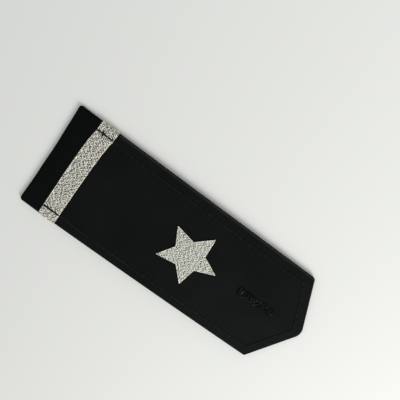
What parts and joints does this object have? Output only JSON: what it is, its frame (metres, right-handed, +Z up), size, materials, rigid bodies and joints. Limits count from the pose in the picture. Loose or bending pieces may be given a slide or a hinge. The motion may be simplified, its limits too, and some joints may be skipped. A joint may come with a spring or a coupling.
{
  "type": "shoulder board",
  "caption": "Stiff cloth-covered shoulder board with one pointed end, a woven silver band, a five-pointed silver star and a worked buttonhole; its underside is flat.",
  "frame": {"origin": "on the underside, under the middle of the board's length and width", "axes": "+X towards the pointed end, +Y across the board towards the side where the band bends, +Z up out of the face with the star"},
  "size_m": [0.1362, 0.0508, 0.0038],
  "materials": {
    "face_cloth": "fine matt black weave",
    "back_cloth": "plain matt black weave",
    "silver_lace": "woven metallic yarn, silver with dark flecks",
    "silver_star": "woven metallic yarn, silver with dark flecks",
    "black_thread": "overcast thread with a slight sheen"
  },
  "bodies": {
    "root": {"cover": "face_cloth", "back_panel": "back_cloth", "lace_band": "silver_lace", "star": "silver_star", "buttonhole": "black_thread"}
  },
  "joints": []
}
